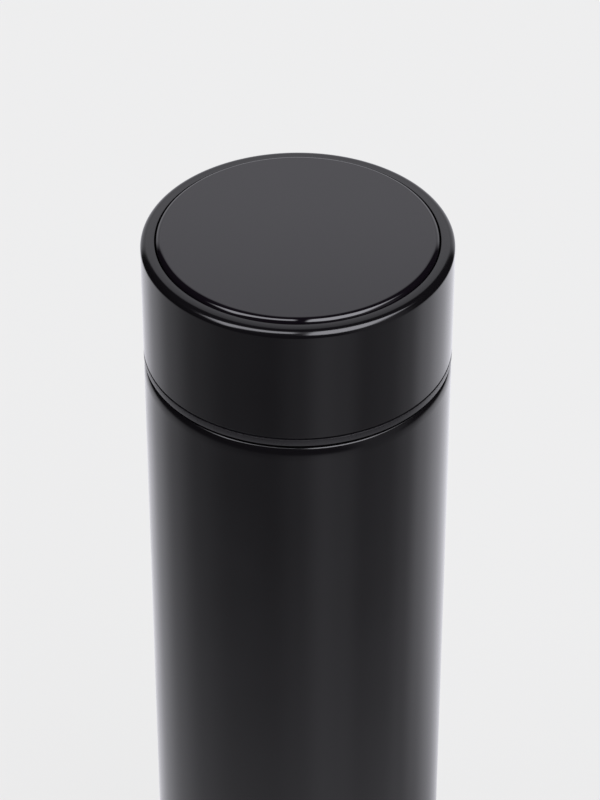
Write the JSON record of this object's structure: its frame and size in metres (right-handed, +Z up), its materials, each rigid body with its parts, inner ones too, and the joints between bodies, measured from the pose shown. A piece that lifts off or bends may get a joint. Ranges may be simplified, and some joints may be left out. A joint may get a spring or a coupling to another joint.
{
  "type": "vacuum flask",
  "caption": "Straight black double-wall vacuum flask with a screw-on lid of the same diameter and a gloss touch display disc in its top.",
  "frame": {"origin": "centre of the foot ring's resting face, on the flask's axis", "axes": "+Z up along the flask's axis from the foot to the lid; X and Y are free, because the outside is round"},
  "size_m": [0.066, 0.066, 0.23],
  "materials": {
    "body_paint": "satin black spray paint over steel",
    "lid_paint": "satin black spray paint over steel",
    "lens_gloss": "polished, black behind",
    "liner_plastic": "fine moulded black",
    "housing_plastic": "moulded black",
    "vessel_steel": "electropolished",
    "base_steel": "turned satin",
    "plate_steel": "spun satin",
    "small_steel": "bright plated",
    "foot_silicone": "matt black",
    "seal_silicone": "translucent white",
    "board_laminate": "green solder mask",
    "display_case": "smoked face",
    "foam": "open-cell foam",
    "tape": "matt black film",
    "getter_metal": "pressed powder",
    "port_glass": "melted glass solder",
    "wire_sleeve": "red sleeve",
    "sensor_epoxy": "black epoxy bead"
  },
  "bodies": {
    "flask": {"outer_shell": "body_paint", "inner_vessel": "vessel_steel", "vacuum_base": "base_steel", "getter": "getter_metal", "port_seal": "port_glass", "base_cover": "base_steel", "foot_ring": "foot_silicone"},
    "lid_seal": {"lid_seal": "seal_silicone"},
    "lid": {"touch_lens": "lens_gloss", "lens_tape": "tape", "lid_shell": "lid_paint", "display_housing": "housing_plastic", "circuit_board": "board_laminate", "display_module": "display_case", "touch_spring": "small_steel", "battery_cell": "small_steel", "battery_clip": "small_steel", "lid_liner": "liner_plastic", "plug_plate": "plate_steel", "insulation_foam": "foam", "sensor_probe": "plate_steel", "probe_gasket": "seal_silicone", "thermistor": "sensor_epoxy", "sensor_wire": "wire_sleeve", "board_screw_1": "small_steel", "housing_screw_1": "small_steel", "board_screw_2": "small_steel", "housing_screw_2": "small_steel", "board_screw_3": "small_steel", "housing_screw_3": "small_steel"}
  },
  "joints": [
    {"name": "lid_rise", "type": "slide", "parent": "flask", "child": "lid_seal", "axis": [0, 0, 1], "range_m": [0, 0.036]},
    {"name": "lid_turn", "type": "hinge", "parent": "lid_seal", "child": "lid", "pos_m": [0, 0, 0.215], "axis": [0, 0, 1], "range_deg": [0, 1620]}
  ],
  "couplings": [
    {"joint": "lid_rise", "follows": "lid_turn", "m_per_rad": 0.0012732}
  ]
}
